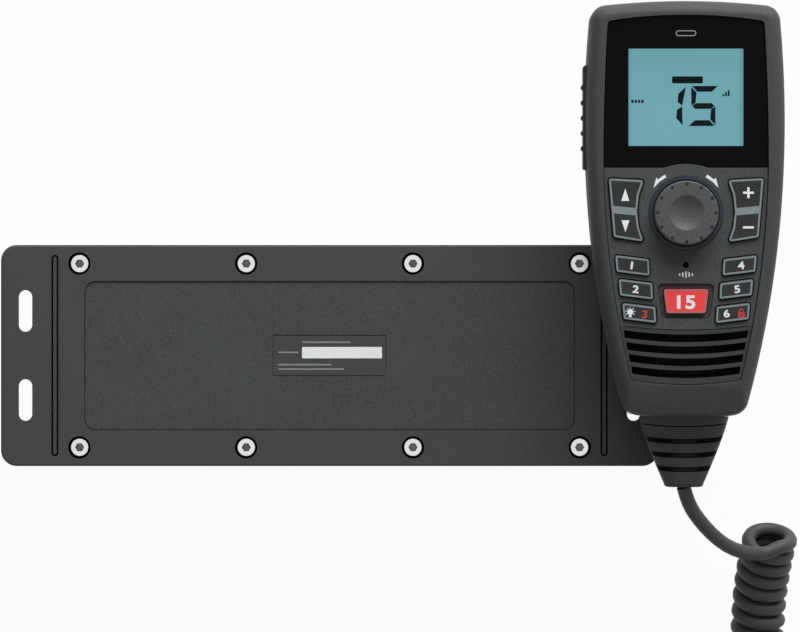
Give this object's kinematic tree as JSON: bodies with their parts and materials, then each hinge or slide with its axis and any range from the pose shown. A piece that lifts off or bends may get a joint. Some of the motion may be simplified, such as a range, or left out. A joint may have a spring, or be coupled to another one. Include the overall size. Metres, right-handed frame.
{
  "type": "marine VHF radio",
  "caption": "Marine VHF radio: a flat sealed transceiver box with slotted mounting ears, and a handset with display, keys, knob and curly cord hanging on one ear.",
  "frame": {"origin": "middle of the transceiver's underside, on the end face of its middle cooling fin", "axes": "+X along the transceiver towards its sockets and the handset, +Y across it towards the handset's top, +Z out of its lid towards the user"},
  "size_m": [0.2529, 0.2842, 0.0751],
  "materials": {
    "coated_metal": "fine matt powder coat",
    "steel": "bright stainless steel",
    "nickel": "nickel plate",
    "gasket_rubber": "matt",
    "circuit_board": "solder mask",
    "tinned_steel": "tinned",
    "black_plastic": "matt",
    "handset_plastic": "fine texture",
    "panel_plastic": "fine texture",
    "lens_plastic": "polished",
    "display_glass": "lit",
    "milky_plastic": "milky",
    "navy_plastic": "gloss",
    "knob_plastic": "satin",
    "key_rubber": "matt",
    "red_rubber": "satin",
    "cloth": "woven",
    "label_film": "satin",
    "boot_rubber": "matt",
    "cord_rubber": "satin",
    "white_plastic": "satin",
    "gold_brass": "gold plate"
  },
  "bodies": {
    "transceiver": {"mounting_plate": "coated_metal", "body_casting": "coated_metal", "lid_gasket": "gasket_rubber", "lid_screws": "steel", "main_board": "circuit_board", "board_screws": "steel", "power_module": "black_plastic", "shield_can": "tinned_steel", "capacitors": "black_plastic", "antenna_socket": "nickel", "antenna_insulator": "white_plastic", "antenna_contact": "gold_brass", "handset_socket": "nickel", "socket_insert": "black_plastic", "power_gland": "boot_rubber", "speaker_gland": "boot_rubber", "rating_label": "label_film", "hanger_plate": "steel", "hanger_screws": "steel"},
    "handset": {"front_shell": "handset_plastic", "rear_shell": "handset_plastic", "case_seal": "gasket_rubber", "case_screws": "steel", "keypad_panel": "panel_plastic", "display_lens": "lens_plastic", "lcd_panel": "display_glass", "light_guide": "milky_plastic", "lcd_frame": "black_plastic", "handset_board": "circuit_board", "keypad_mat": "gasket_rubber", "speaker": "black_plastic", "grille_cloth": "cloth", "mic_capsule": "tinned_steel", "encoder_body": "black_plastic", "knob_ring": "navy_plastic", "ptt_switch": "black_plastic", "hang_stud": "steel", "stud_screw": "steel", "cord_boot": "boot_rubber", "cord_tail": "cord_rubber", "cord_coil": "cord_rubber", "cord_end": "cord_rubber", "plug_body": "black_plastic", "plug_boot": "boot_rubber", "plug_insert": "black_plastic", "plug_pins": "gold_brass"},
    "knob": {"knob": "knob_plastic", "encoder_shaft": "steel"},
    "push_to_talk": {"ptt_lever": "black_plastic", "ptt_pad": "key_rubber"},
    "channel_rocker": {"channel_rocker": "key_rubber"},
    "scan_rocker": {"scan_rocker": "key_rubber"},
    "key_left_top": {"key_left_top": "key_rubber"},
    "key_left_middle": {"key_left_middle": "key_rubber"},
    "key_left_bottom": {"key_left_bottom": "key_rubber"},
    "key_right_top": {"key_right_top": "key_rubber"},
    "key_right_middle": {"key_right_middle": "key_rubber"},
    "key_right_bottom": {"key_right_bottom": "key_rubber"},
    "key_centre": {"key_centre": "red_rubber"},
    "plug_ring": {"plug_ring": "black_plastic"}
  },
  "joints": [
    {"name": "handset_lift", "type": "slide", "parent": "transceiver", "child": "handset", "axis": [0, 1, 0], "range_m": [0, 0.014]},
    {"name": "knob_turn", "type": "hinge", "parent": "handset", "child": "knob", "pos_m": [0.1114, 0.04456, 0.072], "axis": [0, 0, 1], "continuous": true},
    {"name": "push_to_talk_press", "type": "slide", "parent": "handset", "child": "push_to_talk", "axis": [1, 0, 0], "range_m": [0, 0.0012], "stiffness_N_per_m": 800},
    {"name": "channel_rocker_tilt", "type": "hinge", "parent": "handset", "child": "channel_rocker", "pos_m": [0.1114, 0.04626, 0.067], "axis": [1, 0, 0], "range_deg": [-3, 3], "stiffness_Nm_per_rad": 0.05},
    {"name": "scan_rocker_tilt", "type": "hinge", "parent": "handset", "child": "scan_rocker", "pos_m": [0.1114, 0.04626, 0.067], "axis": [1, 0, 0], "range_deg": [-3, 3], "stiffness_Nm_per_rad": 0.05},
    {"name": "key_left_top_press", "type": "slide", "parent": "handset", "child": "key_left_top", "axis": [0, 0, -1], "range_m": [0, 0.0006], "stiffness_N_per_m": 400},
    {"name": "key_left_middle_press", "type": "slide", "parent": "handset", "child": "key_left_middle", "axis": [0, 0, -1], "range_m": [0, 0.0006], "stiffness_N_per_m": 400},
    {"name": "key_left_bottom_press", "type": "slide", "parent": "handset", "child": "key_left_bottom", "axis": [0, 0, -1], "range_m": [0, 0.0006], "stiffness_N_per_m": 400},
    {"name": "key_right_top_press", "type": "slide", "parent": "handset", "child": "key_right_top", "axis": [0, 0, -1], "range_m": [0, 0.0006], "stiffness_N_per_m": 400},
    {"name": "key_right_middle_press", "type": "slide", "parent": "handset", "child": "key_right_middle", "axis": [0, 0, -1], "range_m": [0, 0.0006], "stiffness_N_per_m": 400},
    {"name": "key_right_bottom_press", "type": "slide", "parent": "handset", "child": "key_right_bottom", "axis": [0, 0, -1], "range_m": [0, 0.0006], "stiffness_N_per_m": 400},
    {"name": "key_centre_press", "type": "slide", "parent": "handset", "child": "key_centre", "axis": [0, 0, -1], "range_m": [0, 0.0006], "stiffness_N_per_m": 400},
    {"name": "plug_ring_turn", "type": "hinge", "parent": "handset", "child": "plug_ring", "pos_m": [-0.09, -0.1638, 0.0092], "axis": [1, 0, 0], "continuous": true}
  ]
}
